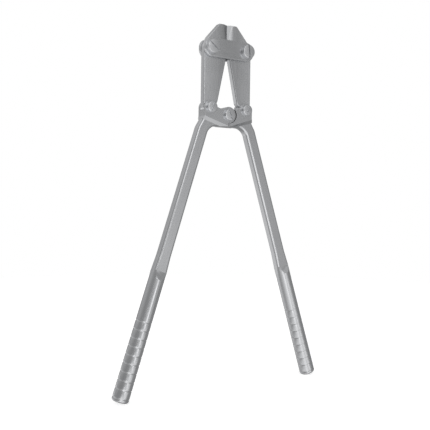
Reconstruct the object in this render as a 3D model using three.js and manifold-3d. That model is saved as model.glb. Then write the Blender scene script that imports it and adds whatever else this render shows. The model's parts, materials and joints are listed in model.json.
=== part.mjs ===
// Compound-action nipper: two bevelled jaws hung between link plates, worked by two long forked handles.
// Millimetres. X runs across the tool, -Y is the front, +Z points from the handle ends to the jaw tips.
// The tool is drawn closed, the handle ends stand on Z = 0, and every pivot axis runs along Y.
import * as THREE from "three";
import { mergeVertices } from "three/addons/utils/BufferGeometryUtils.js";
import Module from "manifold-3d";

const wasm = await Module();
wasm.setup();

// ---- Driving sizes ----

// Fits
const runGap = 0.3; // between faces that slide on each other
const seatGap = 0.1; // between faces that are clamped together
const boreGap = 0.1; // radial, round a shank or a bush
const meetGap = 0.3; // across the closed edges and the handle stops

// Linkage
const jawPivotX = 26.3; // centre line to a jaw pivot
const tailPivotX = 26.6; // centre line to a tail pivot
const jawLever = 75.8; // jaw pivot down to tail pivot
const headRise = 7.9; // tail pivot above the centre pivot
const handleTravel = 32; // degrees that a handle turns on its jaw, closed to open
const loopClosesAt = 0.69; // share of that travel where a fixed jaw ratio fits the linkage exactly

// Jaws
const jawThickness = 8.4;
const jawEdge = 0.5; // rounding of the edges
const jawCheek = 9.2; // outer side past the jaw pivot
const cheekRadius = 9;
const cheekDrop = 11; // shoulder corner down to the full width
const shoulderInset = 5.5; // shoulder corner in from the outer side
const shoulderRadius = 7;
const shoulderDrop = 19; // tip down to the shoulder corner
const tipReach = 32.4; // jaw pivot up to the tip
const tipHalfWidth = 13.2;
const tipCornerRadius = 2.5;
const tailRadius = 9;
const tailNeck = 14; // tail pivot up to where the outer side turns in
const tailNeckRadius = 30;
const footInset = 2.6; // inner edge in from the round tail
const footRise = 7; // and up from the tail pivot
const footRadius = 6;
const bevelWidth = 7.7; // edge bevel across the jaw face
const bevelLength = 24; // edge bevel down from the tip
const edgeLand = 0.6; // flat left on the cutting edge

// Link plates
const plateThickness = 4.5;
const plateHeight = 24;
const plateEdge = 0.5; // rounding of the edges
const plateEndMargin = 1.2; // plate end past the screw head
const plateEndFlat = 3; // straight part of the rounded end

// Handles
const earRadius = 8.9;
const lobeRadius = 10.3; // round boss on the centre pivot
const tailClearance = 0.6; // round the jaw tail in its slot
const headEdge = 0.4; // rounding of the edges
const headDrop = 14.8; // centre pivot down to the underside at the centre line
const undersideSag = 0.8; // and how much lower the underside runs under the ear
const undersideRadius = 14;
const saddleX = 13; // low point of the top edge between boss and ear
const saddleRise = 7.3; // its height over the centre pivot
const saddleRadius = 3;
const saddleRun = 3.4; // low point out to where the edge climbs to the ear
const saddleClimb = 1.2;
const saddleEndRadius = 2;
const stepRise = 0.2; // underside up to the step, at the centre line
const stepOuterDrop = 11.7; // tail pivot down to the step, at the outer edge
const stepRun = 4; // how far the step's slope runs down the face
const stepCornerRadius = 6;
const armThickness = 12;
const armWidth = 16.6;
const armEdgeRadius = 2.4;
const armShoulder = 29; // tail pivot down to where the arm's outer side begins
const armShoulderRadius = 16;
const handleAngle = 18; // degrees between a handle and the centre line
const handleLength = 378.5; // tail pivot to the middle of the grip's end
const gripSwell = 3.2; // grip's top end over the arm's width
const gripFlare = 1.4; // grip's free end over its top end
const gripLength = 151.5; // grip end to the foot of the run-out
const runOutLength = 11; // slope from the round grip to the flats of the arm
const taperLength = 30; // and to the arm's narrower sides
const taperRadius = 60;
const gripJoin = 1; // how far the arm runs into the grip before its end is rounded
const gripEndRadius = 3.2;
const grooveCount = 10;
const groovePitch = 10.36;
const grooveWidth = 1.6;
const grooveDepth = 0.5;
const firstGroove = 5; // grip end to the first groove

// Fasteners
const jawScrew = { headRadius: 8.8, headHeight: 5.6, shankRadius: 4.5, slotWidth: 1.7, slotDepth: 2.2 };
const tailScrew = { headRadius: 7, headHeight: 3.9, shankRadius: 3.5, slotWidth: 1.4, slotDepth: 1.6 };
const centreScrew = { headRadius: 7.6, headHeight: 3.9, shankRadius: 4, slotWidth: 1.5, slotDepth: 1.8 };
const jawNut = { radius: 7.2, slotAngle: 20 };
const tailNut = { radius: 6.2, slotAngle: 65 };
const centreNut = { radius: 7, slotAngle: 100 };
const leftJawSlotAngle = -39; // of the slots in the heads, clockwise from level
const rightJawSlotAngle = -84;
const tailSlotAngle = 73;
const centreSlotAngle = -70;
const headEdgeRadius = 0.9;
const headCrown = 0.5; // rise of the slightly domed head
const bushWall = 2;
const nutHeight = 4.3;
const washerThickness = 1.2;
const washerMargin = 0.5; // washer past the far side of the slack hole when it has drifted

// ---- Worked-out places ----

const rad = THREE.MathUtils.degToRad;
const tilt = rad(handleAngle);
const gripTopRadius = (armWidth + gripSwell) / 2;
const gripEndWide = gripTopRadius + gripFlare / 2;
const jawFace = jawThickness / 2;
const slotFace = jawFace + runGap; // inner face of a plate or an ear
const plateFace = slotFace + plateThickness; // outer face of the link plates and the ears
const armFace = armThickness / 2;
const jawHalfWidth = jawPivotX + jawCheek;
const shoulderHalfWidth = jawHalfWidth - shoulderInset;
const innerFootX = tailPivotX - tailRadius - footInset;

// The lowest point of a tilted grip's rounded end touches Z = 0.
const tailPivotZ =
  (handleLength - gripEndRadius) * Math.cos(tilt) +
  (gripEndWide - gripEndRadius) * Math.sin(tilt) +
  gripEndRadius;
const jawPivotZ = tailPivotZ + jawLever;
const centrePivotZ = tailPivotZ - headRise;
const tipZ = jawPivotZ + tipReach;

// How far a handle's own centre point leaves the centre line when its jaw turns by a share of its turn.
function centreDrift(turn, share) {
  const jaw = -share * turn;
  const handle = jaw + turn;
  const pivotX = -tailPivotX + (jawPivotX - tailPivotX) * (Math.cos(jaw) - 1) - jawLever * Math.sin(jaw);
  return pivotX + tailPivotX * Math.cos(handle) - headRise * Math.sin(handle);
}
function drifts(share) {
  const steps = 32;
  return Array.from({ length: steps + 1 }, (_, i) => centreDrift(rad((handleTravel * i) / steps), share));
}
// Jaw turn for each degree that a handle turns on its jaw. The loop closes exactly at the given share.
function closingRatio(travelShare) {
  const turn = rad(handleTravel * travelShare);
  let [low, high] = [0, 1];
  while (high - low > 1e-9) {
    const middle = (low + high) / 2;
    if (centreDrift(turn, middle) < 0) low = middle;
    else high = middle;
  }
  return low;
}
const jawRatio = closingRatio(loopClosesAt);
const approach = 2 * Math.max(...drifts(jawRatio)); // the handles close in on each other by this much
const parting = -2 * Math.min(...drifts(jawRatio)); // and move apart by this much
const slackHoleRadius = centreScrew.shankRadius + Math.max(approach, parting) + runGap;

const segments = 32;
const past = 60; // how far a cutting shape reaches beyond the body
const axisX = new THREE.Vector3(1, 0, 0);
const axisY = new THREE.Vector3(0, 1, 0);
const axisZ = new THREE.Vector3(0, 0, 1);

// ---- Solids ----

function solid(geometry) {
  const bare = geometry.clone();
  bare.deleteAttribute("normal");
  bare.deleteAttribute("uv");
  const merged = mergeVertices(bare, 1e-4);
  const vertProperties = new Float32Array(merged.attributes.position.array);
  const triVerts = new Uint32Array(merged.index.array);
  return new wasm.Manifold(new wasm.Mesh({ numProp: 3, vertProperties, triVerts }));
}

function geometryOf(body) {
  const mesh = body.getMesh();
  const geometry = new THREE.BufferGeometry();
  geometry.setAttribute("position", new THREE.BufferAttribute(mesh.vertProperties, 3));
  geometry.setIndex(new THREE.BufferAttribute(mesh.triVerts, 1));
  const flat = geometry.toNonIndexed();
  flat.computeVertexNormals();
  return flat;
}

// A closed outline from corners [x, z, radius]; a corner with a radius becomes an arc.
function outline(corners, arcSteps = 8) {
  const points = [];
  corners.forEach(([x, z, radius = 0], i) => {
    const here = new THREE.Vector2(x, z);
    if (!radius) {
      points.push(here);
      return;
    }
    const before = corners.at(i - 1);
    const after = corners[(i + 1) % corners.length];
    const back = new THREE.Vector2(before[0], before[1]).sub(here).normalize();
    const ahead = new THREE.Vector2(after[0], after[1]).sub(here).normalize();
    const half = Math.acos(THREE.MathUtils.clamp(back.dot(ahead), -1, 1)) / 2;
    const centre = back.clone().add(ahead).normalize().multiplyScalar(radius / Math.sin(half)).add(here);
    const start = back.clone().multiplyScalar(radius / Math.tan(half)).add(here).sub(centre);
    const end = ahead.clone().multiplyScalar(radius / Math.tan(half)).add(here).sub(centre);
    const from = start.angle();
    const sweep = THREE.MathUtils.euclideanModulo(end.angle() - from + Math.PI, 2 * Math.PI) - Math.PI;
    for (let step = 0; step <= arcSteps; step++) {
      const angle = from + (sweep * step) / arcSteps;
      points.push(new THREE.Vector2(Math.cos(angle), Math.sin(angle)).multiplyScalar(radius).add(centre));
    }
  });
  return points;
}

// An outline in the XZ plane made into a plate from Y = front to Y = back, with rounded edges.
function plate(points, front, back, edge = 0, edgeSteps = 2) {
  const geometry = new THREE.ExtrudeGeometry(new THREE.Shape(points), {
    depth: back - front - 2 * edge,
    bevelEnabled: edge > 0,
    bevelThickness: edge,
    bevelSize: edge,
    bevelOffset: -edge,
    bevelSegments: edgeSteps,
  });
  geometry.rotateX(Math.PI / 2);
  geometry.translate(0, back - edge, 0);
  return solid(geometry);
}

function box(minX, maxX, minY, maxY, minZ, maxZ) {
  const geometry = new THREE.BoxGeometry(maxX - minX, maxY - minY, maxZ - minZ);
  geometry.translate((minX + maxX) / 2, (minY + maxY) / 2, (minZ + maxZ) / 2);
  return solid(geometry);
}

// A round bar along Y.
function bar(radius, front, back, x = 0, z = 0) {
  const geometry = new THREE.CylinderGeometry(radius, radius, back - front, segments);
  geometry.translate(x, (front + back) / 2, z);
  return solid(geometry);
}

// A polygon in the (across, deep) plane, swept for a length along a third axis.
function prism(points, origin, across, deep, along, length) {
  const corners = points.map(([a, d]) => new THREE.Vector2(a, d));
  const shape = new THREE.Shape(corners);
  const geometry = new THREE.ExtrudeGeometry(shape, { depth: length, bevelEnabled: false });
  geometry.applyMatrix4(new THREE.Matrix4().makeBasis(across, deep, along).setPosition(origin));
  return solid(geometry);
}

// ---- Jaws ----

function jawGeometry() {
  const edge = meetGap / 2;
  const corners = [
    [edge, tipZ],
    [tipHalfWidth, tipZ, tipCornerRadius],
    [shoulderHalfWidth, tipZ - shoulderDrop, shoulderRadius],
    [jawHalfWidth, tipZ - shoulderDrop - cheekDrop, cheekRadius],
    [jawHalfWidth, tailPivotZ + tailNeck, tailNeckRadius],
    [tailPivotX + tailRadius, tailPivotZ],
    [tailPivotX, tailPivotZ],
    [innerFootX, tailPivotZ + footRise, footRadius],
    [edge, jawPivotZ],
  ];
  let body = plate(outline(corners), -jawFace, jawFace, jawEdge);
  body = body.add(bar(tailRadius, -jawFace, jawFace, tailPivotX, tailPivotZ));
  // One bevel on each face; they leave a narrow land along the edge.
  for (const side of [-1, 1]) {
    const wedge = [
      [edge - 1, (side * edgeLand) / 2],
      [edge, (side * edgeLand) / 2],
      [edge + bevelWidth, side * jawFace],
      [edge + bevelWidth, side * (jawFace + 1)],
      [edge - 1, side * (jawFace + 1)],
    ];
    const foot = new THREE.Vector3(0, 0, tipZ - bevelLength);
    body = body.subtract(prism(wedge, foot, axisX, axisY, axisZ, bevelLength + 1));
  }
  const jawBore = jawScrew.shankRadius + bushWall + 2 * boreGap;
  const tailBore = tailScrew.shankRadius + bushWall + 2 * boreGap;
  body = body.subtract(bar(jawBore, -jawFace - 1, jawFace + 1, jawPivotX, jawPivotZ));
  body = body.subtract(bar(tailBore, -jawFace - 1, jawFace + 1, tailPivotX, tailPivotZ));
  return geometryOf(body);
}

// ---- Link plates ----

function linkPlateGeometry(front, back) {
  const endX = jawPivotX + jawScrew.headRadius + plateEndMargin;
  const half = plateHeight / 2;
  const round = half - plateEndFlat / 2;
  const corners = [
    [-endX, jawPivotZ - half, round],
    [endX, jawPivotZ - half, round],
    [endX, jawPivotZ + half, round],
    [-endX, jawPivotZ + half, round],
  ];
  let body = plate(outline(corners), front, back, plateEdge);
  for (const side of [-1, 1]) {
    const bore = bar(jawScrew.shankRadius + boreGap, front - 1, back + 1, side * jawPivotX, jawPivotZ);
    body = body.subtract(bore);
  }
  return geometryOf(body);
}

// ---- Handles ----

const handleOut = new THREE.Vector3(Math.cos(tilt), 0, Math.sin(tilt));
const handleUp = new THREE.Vector3(-Math.sin(tilt), 0, Math.cos(tilt));
const towardsFront = new THREE.Vector3(0, -1, 0);

// A point of the handle: a distance down from the tail pivot and a distance out from the arm's centre line.
function alongHandle(down, out) {
  return [
    tailPivotX + down * Math.sin(tilt) + out * Math.cos(tilt),
    tailPivotZ - down * Math.cos(tilt) + out * Math.sin(tilt),
  ];
}

function gripSolid() {
  const profile = [new THREE.Vector2(0, 0)];
  const roundSteps = 4;
  for (let step = 0; step <= roundSteps; step++) {
    const angle = (Math.PI / 2) * (step / roundSteps);
    profile.push(
      new THREE.Vector2(
        gripEndWide - gripEndRadius * (1 - Math.sin(angle)),
        gripEndRadius * (1 - Math.cos(angle)),
      ),
    );
  }
  for (let i = 0; i < grooveCount; i++) {
    const middle = firstGroove + i * groovePitch;
    const wide = gripEndWide - ((gripEndWide - gripTopRadius) * middle) / gripLength;
    profile.push(new THREE.Vector2(wide, middle - grooveWidth / 2));
    profile.push(new THREE.Vector2(wide - grooveDepth, middle - grooveWidth / 6));
    profile.push(new THREE.Vector2(wide - grooveDepth, middle + grooveWidth / 6));
    profile.push(new THREE.Vector2(wide, middle + grooveWidth / 2));
  }
  const top = gripLength + runOutLength;
  profile.push(new THREE.Vector2(gripTopRadius, gripLength));
  profile.push(new THREE.Vector2(gripTopRadius, top));
  profile.push(new THREE.Vector2(0, top));
  const [x, z] = alongHandle(handleLength, 0);
  const place = new THREE.Matrix4()
    .makeBasis(handleOut, handleUp, towardsFront)
    .setPosition(x, 0, z);
  const round = solid(new THREE.LatheGeometry(profile, segments).applyMatrix4(place));
  // The round bar is milled away to the arm's thickness over the run-out, and to its width over the taper.
  const reach = gripEndWide + 1;
  const envelope = (narrow, length) => {
    const foot = gripLength - (length * (reach - gripTopRadius)) / (gripTopRadius - narrow);
    return [
      [-reach, -1],
      [reach, -1],
      [reach, foot],
      [narrow, gripLength + length],
      [-narrow, gripLength + length],
      [-reach, foot],
    ];
  };
  const origin = new THREE.Vector3(x, 0, z);
  const faceStart = origin.clone().addScaledVector(towardsFront, -reach);
  const sideStart = origin.clone().addScaledVector(handleOut, -reach);
  const widths = envelope(armWidth / 2, taperLength);
  const depths = envelope(armFace, runOutLength);
  const faceView = prism(widths, faceStart, handleOut, handleUp, towardsFront, 2 * reach);
  const back = towardsFront.clone().negate();
  const sideView = prism(depths, sideStart, back, handleUp, handleOut.clone(), 2 * reach);
  return round.intersect(faceView).intersect(sideView);
}

// Outline of the handle from the stop on the centre line round the arm to the ear.
function handleOutline(topCorners) {
  const edge = meetGap / 2;
  const outerX = tailPivotX + earRadius;
  const underside = centrePivotZ - headDrop;
  const taperEnd = handleLength - gripLength - taperLength;
  const buried = gripJoin + armEdgeRadius;
  const armEnd = handleLength - gripLength - runOutLength + buried;
  const endWidth = gripTopRadius - ((gripTopRadius - armWidth / 2) * (runOutLength - buried)) / taperLength;
  return outline([
    [edge, underside],
    [tailPivotX, underside - undersideSag, undersideRadius],
    [...alongHandle(taperEnd, -armWidth / 2), taperRadius],
    alongHandle(armEnd, -endWidth),
    alongHandle(armEnd, endWidth),
    [...alongHandle(taperEnd, armWidth / 2), taperRadius],
    [...alongHandle(armShoulder, armWidth / 2), armShoulderRadius],
    [outerX, tailPivotZ - stepOuterDrop, stepCornerRadius],
    [outerX, tailPivotZ],
    ...topCorners,
  ]);
}

// The thick forked head: the outline at full thickness down to the step, which slopes to the arm's faces.
function headSolid() {
  const stepInner = centrePivotZ - headDrop + stepRise;
  const stepOuter = tailPivotZ - stepOuterDrop;
  const slope = new THREE.Vector3(tailPivotX + earRadius, 0, stepOuter - stepInner).normalize();
  const down = new THREE.Vector3(slope.z, 0, -slope.x);
  const keep = [
    [-past, -plateFace],
    [0, -plateFace],
    [stepRun, -armFace],
    [stepRun, armFace],
    [0, plateFace],
    [-past, plateFace],
  ];
  const start = new THREE.Vector3(0, 0, stepInner).addScaledVector(slope, -past);
  const zone = prism(keep, start, down, axisY, slope, 3 * past);
  const ear = bar(earRadius, -plateFace, plateFace, tailPivotX, tailPivotZ);
  const saddle = [
    [tailPivotX, tailPivotZ],
    [saddleX + saddleRun, centrePivotZ + saddleRise + saddleClimb, saddleEndRadius],
    [saddleX, centrePivotZ + saddleRise, saddleRadius],
    [meetGap / 2, centrePivotZ + saddleRise],
  ];
  return plate(handleOutline(saddle), -plateFace, plateFace, headEdge, 1).add(ear).intersect(zone);
}

function armSolid() {
  return plate(handleOutline([[meetGap / 2, centrePivotZ]]), -armFace, armFace, armEdgeRadius, 3);
}

// Right-hand handle; its boss lies behind the other handle's, or in front of it.
function handleGeometry(bossInFront) {
  const edge = meetGap / 2;
  const bossSide = bossInFront ? -1 : 1;
  const span = (near, far) => [near * bossSide, far * bossSide].sort((a, b) => a - b);
  const bossSpan = span(edge, plateFace);
  const reliefSpan = span(-plateFace - 1, edge);
  let body = headSolid().add(armSolid());
  body = body.subtract(box(-past, edge, -past, past, 0, tipZ));
  body = body.add(gripSolid());
  // The other handle's boss turns in this hollow.
  for (const shift of [0, approach]) {
    body = body.subtract(bar(lobeRadius + runGap, ...reliefSpan, shift, centrePivotZ));
  }
  body = body.add(bar(lobeRadius, ...bossSpan, 0, centrePivotZ));
  // Slot for the jaw tail, open above the tail pivot.
  const slotRadius = tailRadius + tailClearance;
  body = body.subtract(bar(slotRadius, -slotFace, slotFace, tailPivotX, tailPivotZ));
  const slotInner = tailPivotX - slotRadius;
  const slotBox = box(slotInner, tailPivotX + past, -slotFace, slotFace, tailPivotZ, tailPivotZ + past);
  body = body.subtract(slotBox);
  // Bores for the screws; the hindmost handle has the slack hole that opens the loop.
  const centreHole = bossInFront ? centreScrew.shankRadius + boreGap : slackHoleRadius;
  body = body.subtract(bar(centreHole, -plateFace - 1, plateFace + 1, 0, centrePivotZ));
  const tailHole = tailScrew.shankRadius + boreGap;
  body = body.subtract(bar(tailHole, -plateFace - 1, plateFace + 1, tailPivotX, tailPivotZ));
  return geometryOf(body);
}

// ---- Fasteners, each drawn about its own axis ----

// A slotted head on a shank. The seat is the plane under the head; the head stands towards -Y.
function screwGeometry(kind, seat, shankEnd, slotAngle) {
  const { headRadius, headHeight, shankRadius, slotWidth, slotDepth } = kind;
  const top = headHeight - headCrown;
  const profile = [
    new THREE.Vector2(0, -(shankEnd - seat)),
    new THREE.Vector2(shankRadius, -(shankEnd - seat)),
    new THREE.Vector2(shankRadius, 0),
    new THREE.Vector2(headRadius, 0),
  ];
  const edgeSteps = 2;
  for (let step = 0; step <= edgeSteps; step++) {
    const angle = (Math.PI / 2) * (step / edgeSteps);
    const inwards = headEdgeRadius * (1 - Math.cos(angle));
    profile.push(new THREE.Vector2(headRadius - inwards, top - headEdgeRadius * (1 - Math.sin(angle))));
  }
  profile.push(new THREE.Vector2(headRadius / 2, headHeight - headCrown / 4));
  profile.push(new THREE.Vector2(0, headHeight));
  const geometry = new THREE.LatheGeometry(profile, segments).rotateX(Math.PI);
  const slot = new THREE.BoxGeometry(2 * headRadius + 2, 2 * slotDepth, slotWidth);
  slot.rotateY(rad(-slotAngle));
  slot.translate(0, -headHeight, 0);
  const body = solid(geometry).subtract(solid(slot));
  return geometryOf(body).translate(0, seat, 0);
}

// A round nut with a driver slot across its rear face; front is the plane that it is screwed down on.
function nutGeometry(kind, nut, front) {
  const { shankRadius, slotWidth, slotDepth } = kind;
  const { radius, slotAngle } = nut;
  const back = front + nutHeight;
  const edge = headEdgeRadius;
  const profile = [
    new THREE.Vector2(shankRadius + boreGap, front),
    new THREE.Vector2(radius, front),
    new THREE.Vector2(radius, back - edge),
    new THREE.Vector2(radius - edge, back),
    new THREE.Vector2(shankRadius + boreGap, back),
    new THREE.Vector2(shankRadius + boreGap, front),
  ];
  const slot = new THREE.BoxGeometry(2 * radius + 2, slotDepth, slotWidth);
  slot.rotateY(rad(slotAngle));
  slot.translate(0, back, 0);
  return geometryOf(solid(new THREE.LatheGeometry(profile, segments)).subtract(solid(slot)));
}

// A plain ring, used for the bushes and the washer.
function ringGeometry(innerRadius, outerRadius, front, back) {
  const profile = [
    new THREE.Vector2(innerRadius, front),
    new THREE.Vector2(outerRadius, front),
    new THREE.Vector2(outerRadius, back),
    new THREE.Vector2(innerRadius, back),
    new THREE.Vector2(innerRadius, front),
  ];
  return geometryOf(solid(new THREE.LatheGeometry(profile, segments)));
}

// ---- Materials ----

const satinSteel = new THREE.MeshStandardMaterial({ color: 0xa9abac, roughness: 0.38, metalness: 1 });
const brushedSteel = new THREE.MeshStandardMaterial({ color: 0xa4a6a8, roughness: 0.42, metalness: 1 });
const brightSteel = new THREE.MeshStandardMaterial({ color: 0xb4b6b8, roughness: 0.3, metalness: 1 });

function named(name, geometry, material, x = 0, z = 0) {
  const mesh = new THREE.Mesh(geometry, material);
  mesh.name = name;
  mesh.position.set(x, 0, z);
  return mesh;
}

// ---- Assembly ----

const nipper = new THREE.Group();

const links = new THREE.Group();
links.add(named("front_link_plate", linkPlateGeometry(-plateFace, -slotFace), satinSteel));
links.add(named("rear_link_plate", linkPlateGeometry(slotFace, plateFace), satinSteel));
const nutBack = plateFace + seatGap + nutHeight;
const headSeat = -plateFace - seatGap;
const bushFace = slotFace - seatGap;
const jawBush = ringGeometry(
  jawScrew.shankRadius + boreGap,
  jawScrew.shankRadius + boreGap + bushWall,
  -bushFace,
  bushFace,
);
const jawNutGeometry = nutGeometry(jawScrew, jawNut, plateFace + seatGap);
for (const [hand, side, slotAngle] of [
  ["left", -1, leftJawSlotAngle],
  ["right", 1, rightJawSlotAngle],
]) {
  const x = side * jawPivotX;
  const jawScrewGeometry = screwGeometry(jawScrew, headSeat, nutBack - seatGap, slotAngle);
  links.add(named(`${hand}_jaw_screw`, jawScrewGeometry, brightSteel, x, jawPivotZ));
  links.add(named(`${hand}_jaw_bush`, jawBush, brushedSteel, x, jawPivotZ));
  links.add(named(`${hand}_jaw_nut`, jawNutGeometry, brightSteel, x, jawPivotZ));
}
nipper.add(links);

const rightJaw = named("right_jaw", jawGeometry(), satinSteel);
const leftJaw = named("left_jaw", rightJaw.geometry, satinSteel);
leftJaw.scale.x = -1;
nipper.add(rightJaw, leftJaw);

const rightHandle = named("right_handle", handleGeometry(false), brushedSteel);
const leftHandle = named("left_handle", handleGeometry(true), brushedSteel);
leftHandle.scale.x = -1;
nipper.add(rightHandle, leftHandle);

const tailBush = ringGeometry(
  tailScrew.shankRadius + boreGap,
  tailScrew.shankRadius + boreGap + bushWall,
  -bushFace,
  bushFace,
);
const tailNutGeometry = nutGeometry(tailScrew, tailNut, plateFace + seatGap);
for (const [hand, side] of [
  ["left", -1],
  ["right", 1],
]) {
  const x = side * tailPivotX;
  const tailScrewGeometry = screwGeometry(tailScrew, headSeat, nutBack - seatGap, tailSlotAngle);
  nipper.add(named(`${hand}_tail_screw`, tailScrewGeometry, brightSteel, x, tailPivotZ));
  nipper.add(named(`${hand}_tail_bush`, tailBush, brushedSteel, x, tailPivotZ));
  nipper.add(named(`${hand}_tail_nut`, tailNutGeometry, brightSteel, x, tailPivotZ));
}

const washerFront = plateFace + seatGap;
const washerBack = washerFront + washerThickness;
const washerRadius = slackHoleRadius + Math.max(approach, parting) + washerMargin;
const centreNutFront = washerBack + seatGap;
const centreShankEnd = centreNutFront + nutHeight - seatGap;
nipper.add(
  named(
    "centre_screw",
    screwGeometry(centreScrew, headSeat, centreShankEnd, centreSlotAngle),
    brightSteel,
    0,
    centrePivotZ,
  ),
  named(
    "centre_washer",
    ringGeometry(centreScrew.shankRadius + boreGap, washerRadius, washerFront, washerBack),
    brushedSteel,
    0,
    centrePivotZ,
  ),
  named("centre_nut", nutGeometry(centreScrew, centreNut, centreNutFront), brightSteel, 0, centrePivotZ),
);

export default nipper;
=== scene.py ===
"""Compound-action hoof nipper in satin stainless steel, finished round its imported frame."""
import json
import math

import bmesh
import bpy
from mathutils import Matrix, Vector


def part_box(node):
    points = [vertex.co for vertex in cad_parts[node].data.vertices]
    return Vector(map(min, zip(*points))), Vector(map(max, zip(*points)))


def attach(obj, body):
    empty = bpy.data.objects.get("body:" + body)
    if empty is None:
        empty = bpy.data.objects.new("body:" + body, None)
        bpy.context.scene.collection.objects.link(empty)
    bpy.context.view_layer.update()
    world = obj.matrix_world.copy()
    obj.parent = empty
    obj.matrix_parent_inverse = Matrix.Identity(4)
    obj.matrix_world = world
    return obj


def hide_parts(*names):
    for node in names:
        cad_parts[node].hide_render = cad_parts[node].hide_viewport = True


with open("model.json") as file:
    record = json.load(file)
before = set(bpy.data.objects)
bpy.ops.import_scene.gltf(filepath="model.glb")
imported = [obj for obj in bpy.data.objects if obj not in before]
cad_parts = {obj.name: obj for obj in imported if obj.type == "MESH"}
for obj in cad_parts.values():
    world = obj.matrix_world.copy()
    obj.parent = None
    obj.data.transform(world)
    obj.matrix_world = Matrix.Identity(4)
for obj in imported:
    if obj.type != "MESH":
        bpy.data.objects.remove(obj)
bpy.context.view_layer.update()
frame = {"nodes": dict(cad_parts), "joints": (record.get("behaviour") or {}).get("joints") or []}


# ---- Jaws ----
# Two mirrored jaws, forged from stainless plate about 8 mm thick and belt-ground flat on both faces.
# The inner edges carry the cutting bevels at the tip; the round tails reach down into the handles' forks.
mm = 0.001
touching = 1e-7  # metres; points nearer than this count as one
pivots = {joint["name"]: Vector(joint["pos_m"]) for joint in frame["joints"]}
jaw_pivot = pivots["right_jaw_turn"]
tail_pivot = pivots["right_handle_turn"]
jaw_low, jaw_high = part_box("right_jaw")
jaw_face = jaw_high.y
jaw_outer = jaw_high.x
jaw_tip = jaw_high.z
half_gap = jaw_low.x
tail_radius = tail_pivot.z - jaw_low.z


def linear(hex_colour):
    """An sRGB hex colour as linear red, green, blue and alpha."""
    parts = [int(hex_colour[i : i + 2], 16) / 255 for i in (1, 3, 5)]
    return [p / 12.92 if p <= 0.04045 else ((p + 0.055) / 1.055) ** 2.4 for p in parts] + [1.0]


def node(tree, kind, inputs=None, **settings):
    """Adds a shader node, sets its properties, and fills its inputs with values or other nodes' outputs."""
    made = tree.nodes.new(kind)
    for key, value in settings.items():
        setattr(made, key, value)
    for key, value in (inputs or {}).items():
        if isinstance(value, bpy.types.NodeSocket):
            tree.links.new(value, made.inputs[key])
        else:
            made.inputs[key].default_value = value
    return made


def ground_stainless(name, roughness, grain_angle, inner=1.0, outer=1.0):
    """Stainless steel with a fine directional finish; grain_angle turns the grain away from the Z axis.

    The belt's scratches lie about 0.1 mm apart, too fine to show, so they are drawn 0.9 mm apart and 25 mm
    long. They vary the sheen and the tone a little. The colour also carries a painted shade, scaled from
    inner at the centre line to outer further out, which stands in for the darker reflections near the centre.
    """
    material = bpy.data.materials.new(name)
    material.use_nodes = True
    tree = material.node_tree
    shader = tree.nodes["Principled BSDF"]
    place = node(tree, "ShaderNodeTexCoord").outputs["Object"]
    turned = node(tree, "ShaderNodeMapping", {"Vector": place, "Rotation": (0, grain_angle, 0)})
    gap = 0.9 * mm
    length = 25 * mm
    patch = 22 * mm
    spacing = (1 / gap, 1 / gap, 1 / length)
    lines = node(tree, "ShaderNodeMapping", {"Vector": turned.outputs[0], "Scale": spacing})
    scratches = node(tree, "ShaderNodeTexNoise", {"Vector": lines.outputs[0], "Scale": 1.0, "Detail": 1.0})
    clouds = node(tree, "ShaderNodeTexNoise", {"Vector": place, "Scale": 1 / patch, "Detail": 2.0})

    def spread(value, low, high, start=0.3, end=0.7):
        """Spreads what lies between start and end over low to high."""
        limits = {"Value": value, "From Min": start, "From Max": end, "To Min": low, "To Max": high}
        return node(tree, "ShaderNodeMapRange", limits).outputs[0]

    fine_swing = 0.015
    broad_swing = 0.02
    fine = spread(scratches.outputs["Fac"], roughness - fine_swing, roughness + fine_swing)
    broad = spread(clouds.outputs["Fac"], -broad_swing, broad_swing)
    sheen = node(tree, "ShaderNodeMath", {0: fine, 1: broad}, operation="ADD")
    tree.links.new(sheen.outputs[0], shader.inputs["Roughness"])
    # Painted shade: the colour is scaled from inner near the centre line to outer further out, standing in
    # for reflections.
    sideways = node(tree, "ShaderNodeSeparateXYZ", {"Vector": place}).outputs["X"]
    from_centre = node(tree, "ShaderNodeMath", {0: sideways}, operation="ABSOLUTE").outputs[0]
    painted_shade_start = 8 * mm
    painted_shade_end = 34 * mm
    darkest_streak = 0.97
    painted_shade = spread(from_centre, inner, outer, painted_shade_start, painted_shade_end)
    streaks = spread(scratches.outputs["Fac"], darkest_streak, 1.0)
    painted_shade_and_streaks = node(tree, "ShaderNodeMath", {0: painted_shade, 1: streaks}, operation="MULTIPLY").outputs[0]
    tone_with_painted_shade = node(tree, "ShaderNodeVectorMath", {0: linear("#C4C5C7")[:3], "Scale": painted_shade_and_streaks}, operation="SCALE")
    tree.links.new(tone_with_painted_shade.outputs[0], shader.inputs["Base Color"])
    height = {"Height": scratches.outputs["Fac"], "Strength": 0.3, "Distance": 0.001 * mm}
    tree.links.new(node(tree, "ShaderNodeBump", height).outputs[0], shader.inputs["Normal"])
    shader.inputs["Metallic"].default_value = 1.0
    return material


def flat_blank(corners, y):
    """One flat face at depth y from corners (x, z, radius); a corner with a radius is rounded."""
    blank = bmesh.new()
    points = [blank.verts.new((x, y, z)) for x, z, _ in corners]
    blank.faces.new(points)
    spots = [Vector((x, y, z)) for x, z, _ in corners]
    for i, (point, (_, _, radius)) in enumerate(zip(points, corners)):
        if radius:
            before = spots[i - 1] - spots[i]
            after = spots[(i + 1) % len(spots)] - spots[i]
            reach = radius / math.tan(before.angle(after) / 2)
            bmesh.ops.bevel(
                blank,
                geom=[point],
                offset=reach,
                offset_type="OFFSET",
                segments=12,
                profile=0.5,
                affect="VERTICES",
                material=-1,
                clamp_overlap=False,
            )
    return blank


def round_edges(shape, edges, radius, segments):
    bmesh.ops.bevel(
        shape,
        geom=edges,
        offset=radius,
        offset_type="OFFSET",
        segments=segments,
        profile=0.5,
        affect="EDGES",
        material=-1,
        clamp_overlap=False,
    )


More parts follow.
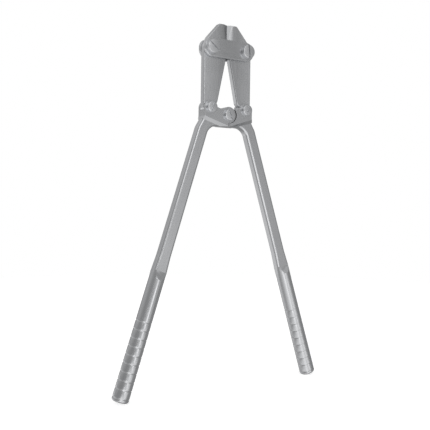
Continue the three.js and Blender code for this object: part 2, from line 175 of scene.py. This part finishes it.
def thick_blank(corners, front, back, edge, segments):
    """The rounded outline as a plate from y = front to y = back, with its rims rounded."""
    blank = flat_blank(corners, front)
    grown = bmesh.ops.extrude_face_region(blank, geom=blank.faces[:])["geom"]
    moved = [g for g in grown if isinstance(g, bmesh.types.BMVert)]
    bmesh.ops.translate(blank, verts=moved, vec=(0, back - front, 0))
    bmesh.ops.recalc_face_normals(blank, faces=blank.faces)
    rims = [e for e in blank.edges if abs(e.verts[0].co.y - e.verts[1].co.y) < touching]
    round_edges(blank, rims, edge, segments)
    return blank


def round_bar(radius, front, back, x, z, segments=96):
    bar = bmesh.new()
    place = Matrix.Translation((x, (front + back) / 2, z)) @ Matrix.Rotation(math.pi / 2, 4, "X")
    bmesh.ops.create_cone(
        bar,
        cap_ends=True,
        segments=segments,
        radius1=radius,
        radius2=radius,
        depth=back - front,
        matrix=place,
    )
    return bar


def block(low, high):
    """A square-edged block between two corners."""
    made = bmesh.new()
    low, high = Vector(low), Vector(high)
    size = Matrix.Diagonal((*(high - low), 1))
    bmesh.ops.create_cube(made, size=1, matrix=Matrix.Translation((low + high) / 2) @ size)
    return made


def as_object(shape, name):
    mesh = bpy.data.meshes.new(name)
    shape.to_mesh(mesh)
    shape.free()
    made = bpy.data.objects.new(name, mesh)
    bpy.context.scene.collection.objects.link(made)
    return made


def machine(piece, tool, operation="DIFFERENCE"):
    """Cuts a tool shape out of a piece, or welds it on with UNION."""
    cutter = as_object(tool, "tool")
    step = piece.modifiers.new("step", "BOOLEAN")
    step.object = cutter
    step.operation = operation
    step.solver = "EXACT"
    bpy.context.view_layer.update()
    made = bpy.data.meshes.new_from_object(piece.evaluated_get(bpy.context.evaluated_depsgraph_get()))
    piece.modifiers.clear()
    piece.data = made
    bpy.data.objects.remove(cutter)


def mirrored(piece):
    piece.data.transform(Matrix.Scale(-1, 4, (1, 0, 0)))
    piece.data.flip_normals()


def fit(piece, metal, body, cad_node, crease=32):
    """Gives a finished piece its metal and smooth faces, and puts it on its body in place of its CAD node."""
    tidy = bmesh.new()
    tidy.from_mesh(piece.data)
    bmesh.ops.remove_doubles(tidy, verts=tidy.verts, dist=touching)
    bmesh.ops.dissolve_degenerate(tidy, edges=tidy.edges, dist=touching)
    tidy.to_mesh(piece.data)
    tidy.free()
    piece.data.materials.clear()
    piece.data.materials.append(metal)
    piece.data.shade_smooth()
    piece.data.set_sharp_from_angle(angle=math.radians(crease))
    normals = piece.modifiers.new("even faces", "WEIGHTED_NORMAL")
    normals.keep_sharp = True
    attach(piece, body)
    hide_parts(cad_node)


shoulder_inset = 5.5 * mm
shoulder_drop = 19 * mm
shoulder_radius = 7 * mm
cheek_drop = 11 * mm
cheek_radius = 9 * mm
tip_half_width = 13.2 * mm
tip_radius = 2.5 * mm
tail_neck = 14 * mm
neck_radius = 30 * mm
tail_depth = 3 * mm
foot_inset = 2.6 * mm
foot_rise = 7 * mm
foot_radius = 6 * mm
jaw_edge = 1.3 * mm
edge_steps = 4
bevel_width = 7.7 * mm
bevel_length = 24 * mm
edge_land = 0.6 * mm
jaw_bore = 6.7 * mm
tail_bore = 5.7 * mm
beyond = 2 * mm


def jaw_piece(name):
    piece = as_object(
        thick_blank(
            [
                (half_gap, jaw_tip, 0),
                (tip_half_width, jaw_tip, tip_radius),
                (jaw_outer - shoulder_inset, jaw_tip - shoulder_drop, shoulder_radius),
                (jaw_outer, jaw_tip - shoulder_drop - cheek_drop, cheek_radius),
                (jaw_outer, tail_pivot.z + tail_neck, neck_radius),
                (tail_pivot.x + tail_radius, tail_pivot.z, 0),
                (tail_pivot.x, tail_pivot.z - tail_depth, 0),
                (tail_pivot.x - tail_radius - foot_inset, tail_pivot.z + foot_rise, foot_radius),
                (half_gap, jaw_pivot.z, 0),
            ],
            -jaw_face,
            jaw_face,
            jaw_edge,
            edge_steps,
        ),
        name,
    )
    tail = round_bar(tail_radius, -jaw_face, jaw_face, tail_pivot.x, tail_pivot.z)
    machine(piece, tail, "UNION")
    for side in (-1, 1):
        wedge = bmesh.new()
        foot = jaw_tip - bevel_length
        profile = [
            (half_gap - beyond, side * edge_land / 2),
            (half_gap, side * edge_land / 2),
            (half_gap + bevel_width, side * jaw_face),
            (half_gap + bevel_width, side * (jaw_face + beyond)),
            (half_gap - beyond, side * (jaw_face + beyond)),
        ]
        wedge.faces.new([wedge.verts.new((x, y, foot)) for x, y in profile])
        grown = bmesh.ops.extrude_face_region(wedge, geom=wedge.faces[:])["geom"]
        moved = [g for g in grown if isinstance(g, bmesh.types.BMVert)]
        bmesh.ops.translate(wedge, verts=moved, vec=(0, 0, bevel_length + beyond))
        bmesh.ops.recalc_face_normals(wedge, faces=wedge.faces)
        machine(piece, wedge)
    for radius, pivot in ((jaw_bore, jaw_pivot), (tail_bore, tail_pivot)):
        machine(piece, round_bar(radius, -jaw_face - beyond, jaw_face + beyond, pivot.x, pivot.z))
    return piece


# Forged plate, belt-ground along its length to a soft grey sheen, with a painted shade darker towards the
# inner edges.
jaw_steel = ground_stainless("belt-ground stainless plate", 0.27, 0.0, 0.84, 1.15)
right_jaw = jaw_piece("jaw_right")
fit(right_jaw, jaw_steel, "right_jaw_body", "right_jaw")
left_jaw = jaw_piece("jaw_left")
mirrored(left_jaw)
fit(left_jaw, jaw_steel, "left_jaw_body", "left_jaw")


# ---- Link plates ----
# Two equal bars of 4.5 mm stainless plate with rounded ends tie the jaws together, front and rear.
# They are blanked, drilled for the jaw screws, and ground across with a fine belt.
plate_end_flat = 3 * mm
plate_bore = 4.6 * mm
plate_edge = 0.8 * mm
# The plates carry a painted shade too, darker in the middle and lighter towards the ends.
plate_steel = ground_stainless("cross-ground stainless plate", 0.28, math.radians(90), 0.84, 1.05)
for name, cad_node in (("link_plate_front", "front_link_plate"), ("link_plate_rear", "rear_link_plate")):
    low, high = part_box(cad_node)
    corner = (high.z - low.z - plate_end_flat) / 2
    ends = [(low.x, low.z), (high.x, low.z), (high.x, high.z), (low.x, high.z)]
    corners = [(x, z, corner) for x, z in ends]
    link = as_object(thick_blank(corners, low.y, high.y, plate_edge, edge_steps), name)
    for side in (-1, 1):
        bore = round_bar(plate_bore, low.y - beyond, high.y + beyond, side * jaw_pivot.x, jaw_pivot.z)
        machine(link, bore)
    fit(link, plate_steel, "links", cad_node)


# ---- Handles ----
# Each handle is one stainless forging: a thick forked head, a flat arm with well-rounded edges, and a round
# grip turned from the same bar with ten shallow rings. The flats of the arm run out into the grip.
centre_low, centre_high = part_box("centre_screw")
centre_z = (centre_low.z + centre_high.z) / 2
head_face = 9 * mm
head_edge = 0.5 * mm
head_edge_steps = 2
arm_face = 6 * mm
arm_edge = 3.2 * mm
arm_edge_steps = 8
arm_shrink = 0.05 * mm
arm_slack = 0.02 * mm
tilt = math.radians(18)
handle_out = Vector((math.cos(tilt), 0, math.sin(tilt)))
handle_up = Vector((-math.sin(tilt), 0, math.cos(tilt)))
handle_length = 378.5 * mm
grip_length = 151.5 * mm
run_out = 11 * mm
taper = 30 * mm
arm_half = 8.3 * mm
grip_top = 9.9 * mm
grip_end = 10.6 * mm
grip_edge = 3.2 * mm
grip_dome = 0.6 * mm
grip_join = 1 * mm
flat_overlap = 0.1 * mm
groove_count = 10
groove_pitch = 10.36 * mm
first_groove = 5 * mm
groove_half = 0.8 * mm
groove_depth = 0.5 * mm
lip_depth = 0.06 * mm
underside_drop = 14.8 * mm
underside_fall = 0.8 * mm
crotch_radius = 14 * mm
arm_bend = 60 * mm
neck_down = 29 * mm
neck_bend = 16 * mm
cheek_fall = 11.7 * mm
cheek_bend = 6 * mm
step_drop = 14.6 * mm
step_run = 4 * mm
saddle_end = 13 * mm
saddle_rise = 7.3 * mm
saddle_radius = 3 * mm
ear_foot_rise = 8.7 * mm
ear_foot_radius = 1 * mm
ear_radius = 8.9 * mm
lobe_radius = 10.3 * mm
play = 0.3 * mm
drift = 0.35 * mm
slot_face = jaw_face + play
fork_clearance = 0.6 * mm
centre_bore = 4.1 * mm
wide_centre_bore = 6 * mm
ear_bore = 3.6 * mm
root_outer_drop = 9.5 * mm
root_middle = 12 * mm
root_middle_drop = 9 * mm
root_inner_drop = 12 * mm


def along_handle(down, out):
    """(x, z) of a point a distance down the handle from the tail pivot and out from its centre line."""
    spot = tail_pivot - handle_up * down + handle_out * out
    return spot.x, spot.z


def turned(profile, steps=96):
    """A solid turned about the Y axis from (radius, y) points that start and end on the axis."""
    made = bmesh.new()
    points = [made.verts.new((radius, y, 0)) for radius, y in profile]
    lines = [made.edges.new(pair) for pair in zip(points, points[1:])]
    bmesh.ops.spin(
        made,
        geom=points + lines,
        cent=(0, 0, 0),
        axis=(0, 1, 0),
        angle=2 * math.pi,
        steps=steps,
        use_merge=True,
        use_duplicate=False,
    )
    bmesh.ops.remove_doubles(made, verts=made.verts, dist=touching)
    bmesh.ops.recalc_face_normals(made, faces=made.faces)
    return made


def quarter(radius, steps, start=0.0, stop=90.0):
    """(cos, sin) points of an arc, in metres from its centre."""
    angles = [math.radians(start + (stop - start) * i / steps) for i in range(steps + 1)]
    return [(radius * math.cos(a), radius * math.sin(a)) for a in angles]


def slice_off(shape, point, outward):
    """Removes all that lies past a plane and closes the cut with a flat face."""
    bmesh.ops.bisect_plane(
        shape,
        geom=shape.verts[:] + shape.edges[:] + shape.faces[:],
        dist=touching,
        plane_co=point,
        plane_no=outward,
        clear_outer=True,
    )
    bmesh.ops.holes_fill(shape, edges=[e for e in shape.edges if e.is_boundary], sides=0)
    bmesh.ops.recalc_face_normals(shape, faces=shape.faces)


def grip_bar():
    """The round grip, turned with its rings, with four flats milled where it runs out into the arm.

    The butt is slightly domed: 0.6 of the way out it still has 0.7 of the dome's height.
    """
    butt = grip_end - grip_edge
    profile = [(0, -grip_dome), (butt * 0.6, -grip_dome * 0.7), (butt, 0)]
    for cosine, sine in quarter(grip_edge, 8, -80, 0):
        profile.append((butt + cosine, grip_edge + sine))

    def wide(at):
        return grip_end - (grip_end - grip_top) * at / grip_length

    # Each ring is a shallow round groove with a soft lip on both sides.
    ring = [
        (-1.3, lip_depth),
        (-0.5, groove_depth * 0.8),
        (0, groove_depth),
        (0.5, groove_depth * 0.8),
        (1.3, lip_depth),
    ]
    for i in range(groove_count):
        at = first_groove + i * groove_pitch
        for share, depth in ring:
            profile.append((wide(at) - depth, at + groove_half * share))
    profile.append((grip_top, grip_length))
    profile.append((grip_top, grip_length + run_out))
    profile.append((0, grip_length + run_out))
    bar = turned(profile)
    for across, half, length in ((0, arm_half, taper), (2, arm_face - flat_overlap, run_out)):
        for side in (-1, 1):
            point, outward = Vector((0, grip_length, 0)), Vector((0, 0, 0))
            point[across] = side * grip_top
            outward[across] = side * length
            outward.y = grip_top - half
            slice_off(bar, point, outward.normalized())
    foot = tail_pivot - handle_up * handle_length
    place = Matrix((handle_out, handle_up, (0, -1, 0))).transposed().to_4x4()
    bmesh.ops.transform(bar, matrix=Matrix.Translation(foot) @ place, verts=bar.verts)
    return bar


def handle_corners(top, shrink=0.0):
    """The handle's outline, closed over the top corners; shrink draws its sides in a little."""
    underside = centre_z - underside_drop + shrink
    outer = tail_pivot.x + ear_radius - shrink
    half = arm_half - shrink
    taper_end = handle_length - grip_length - taper
    buried = arm_edge + grip_join
    arm_end = handle_length - grip_length - run_out + buried
    end_half = grip_top - (grip_top - arm_half) * (run_out - buried) / taper - arm_slack
    return [
        (half_gap, underside, 0),
        (tail_pivot.x, underside - underside_fall, crotch_radius),
        (*along_handle(taper_end, -half), arm_bend),
        (*along_handle(arm_end, -end_half), 0),
        (*along_handle(arm_end, end_half), 0),
        (*along_handle(taper_end, half), arm_bend),
        (*along_handle(neck_down, half), neck_bend),
        (outer, tail_pivot.z - cheek_fall, cheek_bend),
        *top,
    ]


def handle_piece(name, boss_in_front):
    """A right handle: the forked head with its boss in the front or rear half, then the arm and grip."""
    ear_top = tail_pivot.z + ear_radius
    ear_round = ear_radius * 0.998  # a hair less than full, so that the two rounds of the ear don't meet
    saddle = [
        (tail_pivot.x + ear_radius, ear_top, ear_round),
        (tail_pivot.x - ear_radius, ear_top, ear_round),
        (tail_pivot.x - ear_radius, centre_z + ear_foot_rise, ear_foot_radius),
        (saddle_end, centre_z + saddle_rise, saddle_radius),
        (half_gap, centre_z + saddle_rise, 0),
    ]
    head = thick_blank(handle_corners(saddle), -head_face, head_face, head_edge, head_edge_steps)
    step_inner = Vector((0, 0, centre_z - step_drop))
    step_outer = Vector((tail_pivot.x + ear_radius, 0, tail_pivot.z - cheek_fall))
    slope = (step_outer - step_inner).normalized()
    down = Vector((slope.z, 0, -slope.x))
    slice_off(head, step_inner + down * step_run, down)
    for side in (-1, 1):
        outward = Vector((0, side * step_run, 0)) + down * (head_face - arm_face)
        slice_off(head, step_inner + Vector((0, side * head_face, 0)), outward.normalized())
    piece = as_object(head, name)
    past = head_face + beyond
    relief = (-half_gap, past) if boss_in_front else (-past, half_gap)
    machine(piece, round_bar(lobe_radius + play + drift, *relief, drift, centre_z))
    boss = (-head_face, -half_gap) if boss_in_front else (half_gap, head_face)
    lobe = round_bar(lobe_radius, *boss, 0, centre_z)
    outer_y = max(boss, key=abs)
    rim = [e for e in lobe.edges if all(abs(v.co.y - outer_y) < touching for v in e.verts)]
    round_edges(lobe, rim, head_edge, head_edge_steps)
    machine(piece, lobe, "UNION")
    slot_radius = tail_radius + fork_clearance
    machine(piece, round_bar(slot_radius, -slot_face, slot_face, tail_pivot.x, tail_pivot.z))
    bore = centre_bore if boss_in_front else wide_centre_bore
    for radius, x, z in ((bore, 0, centre_z), (ear_bore, tail_pivot.x, tail_pivot.z)):
        machine(piece, round_bar(radius, -past, past, x, z))
    # The arm's top corners lie inside the head.
    root = [
        (tail_pivot.x + ear_radius - arm_shrink, tail_pivot.z - root_outer_drop, 0),
        (root_middle, centre_z - root_middle_drop, 0),
        (half_gap, centre_z - root_inner_drop, 0),
    ]
    blank = thick_blank(handle_corners(root, arm_shrink), -arm_face, arm_face, arm_edge, arm_edge_steps)
    arm = as_object(blank, "arm")
    machine(arm, grip_bar(), "UNION")
    whole = bmesh.new()
    whole.from_mesh(arm.data)
    bpy.data.objects.remove(arm)
    machine(piece, whole, "UNION")
    return piece


# The arms are belt-brushed along their length and the grips follow the same way: a brighter, tighter sheen.
right_steel = ground_stainless("stainless brushed along the right arm", 0.25, tilt)
left_steel = ground_stainless("stainless brushed along the left arm", 0.25, -tilt)
right_handle = handle_piece("handle_right", False)
fit(right_handle, right_steel, "right_handle_body", "right_handle")
left_handle = handle_piece("handle_left", True)
mirrored(left_handle)
fit(left_handle, left_steel, "left_handle_body", "left_handle")


# ---- Screws, nuts and washer ----
# Cheese-head screws and round slotted nuts, turned from stainless bar and left with a fine turned face.
# The slots are milled straight across; each screw clamps its joint through a hidden bush.
def turned_stainless(name, centre):
    """Stainless bar faced on a lathe: fine rings round the screw's own axis, drawn 0.5 mm apart to show."""
    material = bpy.data.materials.new(name)
    material.use_nodes = True
    tree = material.node_tree
    shader = tree.nodes["Principled BSDF"]
    place = node(tree, "ShaderNodeTexCoord").outputs["Object"]
    centred = node(tree, "ShaderNodeMapping", {"Vector": place, "Location": -centre})
    # The wave repeats every pi / 10 of its own units.
    ring_gap = 0.5 * mm
    rings = node(
        tree,
        "ShaderNodeTexWave",
        {"Vector": centred.outputs[0], "Scale": math.pi / (10 * ring_gap), "Distortion": 1.5, "Detail": 2.0},
        wave_type="RINGS",
        rings_direction="Y",
    )
    rough = node(
        tree,
        "ShaderNodeMapRange",
        {"Value": rings.outputs["Fac"], "To Min": 0.25, "To Max": 0.33},
    )
    tree.links.new(rough.outputs[0], shader.inputs["Roughness"])
    height = {"Height": rings.outputs["Fac"], "Strength": 0.4, "Distance": 0.006 * mm}
    bump = node(tree, "ShaderNodeBump", height)
    tree.links.new(bump.outputs[0], shader.inputs["Normal"])
    shader.inputs["Base Color"].default_value = linear("#CBCCCE")
    shader.inputs["Metallic"].default_value = 1.0
    return material


screw_edge = 0.9 * mm
crown_share = 0.04
overhang = 1.2


def cut_slot(piece, x, y, z, reach, width, depth, angle):
    """Mills a straight slot across the face at y, turned by an angle in degrees about the Y axis."""
    slot = block((-reach, -depth, -width / 2), (reach, depth, width / 2))
    turn = Matrix.Translation((x, y, z)) @ Matrix.Rotation(math.radians(angle), 4, "Y")
    bmesh.ops.transform(slot, matrix=turn, verts=slot.verts)
    machine(piece, slot)


def screw_piece(name, x, z, low, high, kind, slot_angle):
    """A cheese head with a softened edge and a slightly domed face, on a plain shank."""
    head_radius, shank_radius, slot_width, slot_depth = kind
    crown = head_radius * crown_share
    profile = [(0, high), (shank_radius, high), (shank_radius, seat), (head_radius, seat)]
    top = low + crown + screw_edge
    profile += [(head_radius - screw_edge + c, top - s) for c, s in quarter(screw_edge, 6)]
    steps = 8
    flat = head_radius - screw_edge
    profile += [(flat * (1 - i / steps), low + crown * (1 - i / steps) ** 2) for i in range(1, steps + 1)]
    shape = turned(profile)
    bmesh.ops.translate(shape, verts=shape.verts, vec=(x, 0, z))
    piece = as_object(shape, name)
    cut_slot(piece, x, low, z, head_radius * overhang, slot_width, slot_depth, -slot_angle)
    return piece


def nut_piece(name, x, z, front, back, radius, bore, slot_width, slot_depth, slot_angle):
    """A round nut with a softened rear edge and a slot across it."""
    profile = [(bore, front), (radius, front)]
    rim = radius - screw_edge
    profile += [(rim + c, back - screw_edge + s) for c, s in quarter(screw_edge, 6)]
    profile += [(bore, back)]
    shape = turned(profile + [profile[0]])
    bmesh.ops.translate(shape, verts=shape.verts, vec=(x, 0, z))
    piece = as_object(shape, name)
    cut_slot(piece, x, back, z, radius * overhang, slot_width, slot_depth, slot_angle)
    return piece


clearance = 0.1 * mm
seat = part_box("front_link_plate")[0].y - clearance
# Head radius, shank radius, slot width and slot depth of the three kinds of screw.
jaw_kind = (8.8 * mm, 4.5 * mm, 1.7 * mm, 2.2 * mm)
tail_kind = (7 * mm, 3.5 * mm, 1.4 * mm, 1.6 * mm)
centre_kind = (7.6 * mm, 4 * mm, 1.5 * mm, 1.8 * mm)
# Where, across and up, on which body, kind, angle of the head's slot, nut radius, angle of the nut's slot.
fastenings = [
    ("left_jaw", -jaw_pivot.x, jaw_pivot.z, "links", jaw_kind, -39, 7.2 * mm, 20),
    ("right_jaw", jaw_pivot.x, jaw_pivot.z, "links", jaw_kind, -84, 7.2 * mm, 20),
    ("left_tail", -tail_pivot.x, tail_pivot.z, "left_handle_body", tail_kind, 73, 6.2 * mm, 65),
    ("right_tail", tail_pivot.x, tail_pivot.z, "right_handle_body", tail_kind, 73, 6.2 * mm, 65),
    ("centre", 0, centre_z, "left_handle_body", centre_kind, -70, 7 * mm, 100),
]
for at, x, z, body, kind, slot_angle, nut_radius, nut_angle in fastenings:
    _, shank_radius, slot_width, slot_depth = kind
    steel = turned_stainless(f"turned stainless, {at.replace('_', ' ')}", Vector((x, 0, z)))
    low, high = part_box(f"{at}_screw")
    screw = screw_piece(f"screw_{at}", x, z, low.y, high.y, kind, slot_angle)
    fit(screw, steel, body, f"{at}_screw")
    low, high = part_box(f"{at}_nut")
    bore = shank_radius + clearance
    nut = nut_piece(f"nut_{at}", x, z, low.y, high.y, nut_radius, bore, slot_width, slot_depth, nut_angle)
    fit(nut, steel, body, f"{at}_nut")

low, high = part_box("centre_washer")
washer_radius = (high.x - low.x) / 2
edge = 0.25 * mm
profile = [(centre_bore, low.y), (washer_radius - edge, low.y), (washer_radius, low.y + edge)]
profile += [(washer_radius, high.y - edge), (washer_radius - edge, high.y), (centre_bore, high.y)]
washer = turned(profile + [profile[0]])
bmesh.ops.translate(washer, verts=washer.verts, vec=(0, 0, centre_z))
washer = as_object(washer, "washer_centre")
fit(washer, steel, "left_handle_body", "centre_washer")


# ---- Bushes ----
# Plain turned sleeves inside the jaws, which the screws clamp between the plates or the fork's ears.
# They are out of sight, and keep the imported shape.
for name in ("left_jaw_bush", "right_jaw_bush", "left_tail_bush", "right_tail_bush"):
    bush = frame["nodes"][name]
    bush.data.materials.clear()
    bush.data.materials.append(jaw_steel)


# ---- Studio ----
# A pale matt floor that melts into a pale backdrop, and soft panels all round for the steel to mirror.
# Floor and backdrop are only there for the camera, so nothing but the panels shows in the metal.
floor_radius = 1.3
floor_shape = bmesh.new()
bmesh.ops.create_circle(floor_shape, cap_ends=True, segments=96, radius=floor_radius)
floor = as_object(floor_shape, "floor")
floor_paint = bpy.data.materials.new("matt pale floor")
floor_paint.use_nodes = True
paint = floor_paint.node_tree.nodes["Principled BSDF"]
paint.inputs["Base Color"].default_value = linear("#F4F4F4")
paint.inputs["Roughness"].default_value = 0.9
paint.inputs["Specular IOR Level"].default_value = 0.1
paint.inputs["Emission Color"].default_value = (1, 1, 1, 1)
paint.inputs["Emission Strength"].default_value = 0.6
floor.data.materials.append(floor_paint)
floor.visible_glossy = False
floor.visible_diffuse = False
floor.visible_shadow = False

world = bpy.data.worlds.new("soft studio")
bpy.context.scene.world = world
world.use_nodes = True
studio = world.node_tree
studio.nodes.clear()
direction = node(studio, "ShaderNodeTexCoord").outputs["Generated"]


def soft_panel(light, azimuth, elevation, wide, tall, brightness):
    """Adds a far-off panel to the light, brightest in its middle and fading out to its edges.

    Azimuth 0 is straight in front of the tool and positive azimuths go to the right; wide and tall are half
    sizes, as shares of the distance.
    """
    any_depth = 1000  # so long that depth doesn't fade the panel
    facing = (-math.radians(elevation), 0, math.radians(azimuth))
    place = {"Vector": direction, "Rotation": facing, "Scale": (wide, any_depth, tall)}
    across = node(studio, "ShaderNodeMapping", place, vector_type="TEXTURE").outputs[0]
    fade = node(studio, "ShaderNodeTexGradient", {"Vector": across}, gradient_type="SPHERICAL")
    depth = node(studio, "ShaderNodeSeparateXYZ", {"Vector": across}).outputs["Y"]
    this_side = node(studio, "ShaderNodeMath", {0: depth, 1: 0.0}, operation="LESS_THAN").outputs[0]
    shone = node(studio, "ShaderNodeMath", {0: fade.outputs["Fac"], 1: brightness}, operation="MULTIPLY")
    added = {0: shone.outputs[0], 1: this_side, 2: light}
    return node(studio, "ShaderNodeMath", added, operation="MULTIPLY_ADD").outputs[0]


# The even light of 0.36 and eight of these panels were worked out by a fitting program, not by hand: all but
# the third, fourth and fifth, which were added. The second, sixth and seventh were then dimmed.
light = 0.36
for panel in (
    (-15, -44, 0.85, 0.70, 1.25),  # large, low in front
    (12, -2, 0.72, 0.30, 0.50),  # wide, level in front
    (11, -4, 0.20, 0.20, 1.60),  # small, level in front
    (-24, -15, 0.30, 0.22, 2.20),  # small and bright, a little low at the front left
    (-147, -3, 0.30, 0.14, 1.20),  # small strip, level behind on the left
    (-145, -23, 1.00, 0.35, 0.65),  # wide, low behind on the left
    (-137, 41, 0.86, 0.73, 0.60),  # large, high behind on the left
    (-6, 23, 0.60, 0.24, 2.40),  # wide and bright, a little high in front
    (29, -20, 0.50, 0.15, 1.00),  # strip, low at the front right
    (-98, -52, 0.60, 0.25, 1.00),  # wide, far down on the left
    (0, 62, 0.95, 0.70, 0.52),  # large, nearly overhead
):
    light = soft_panel(light, *panel)
lit = node(studio, "ShaderNodeBackground", {"Color": (1, 1, 1, 1), "Strength": light})
backdrop = node(studio, "ShaderNodeBackground", {"Color": (1, 1, 1, 1), "Strength": 1.0})
path = node(studio, "ShaderNodeLightPath")
mixed = node(
    studio,
    "ShaderNodeMixShader",
    {0: path.outputs["Is Camera Ray"], 1: lit.outputs[0], 2: backdrop.outputs[0]},
)
node(studio, "ShaderNodeOutputWorld", {"Surface": mixed.outputs[0]})

# Where the camera stands, how it is turned and its lens were worked out by a fitting program too.
aim = Vector((0, 0, 0.235))
aside = -0.011847
upward = -0.009645
distance = 0.836035
view_azimuth = math.radians(-31.401)
view_elevation = math.radians(1.110)
view_roll = math.radians(0.789)
back = Vector(
    (
        math.sin(view_azimuth) * math.cos(view_elevation),
        -math.cos(view_azimuth) * math.cos(view_elevation),
        math.sin(view_elevation),
    )
)
right = (-back).cross(Vector((0, 0, 1))).normalized()
up = right.cross(-back)
spot = aim + right * aside + up * upward + back * distance
rolled_right = right * math.cos(view_roll) + up * math.sin(view_roll)
rolled_up = up * math.cos(view_roll) - right * math.sin(view_roll)
lens = bpy.data.cameras.new("camera")
lens.lens = 53.79
lens.sensor_width = 36
camera = bpy.data.objects.new("camera", lens)
bpy.context.scene.collection.objects.link(camera)
camera.matrix_world = Matrix.Translation(spot) @ Matrix((rolled_right, rolled_up, back)).transposed().to_4x4()
bpy.context.scene.camera = camera
bpy.context.scene.view_settings.view_transform = "Standard"
bpy.context.scene.view_settings.look = "None"
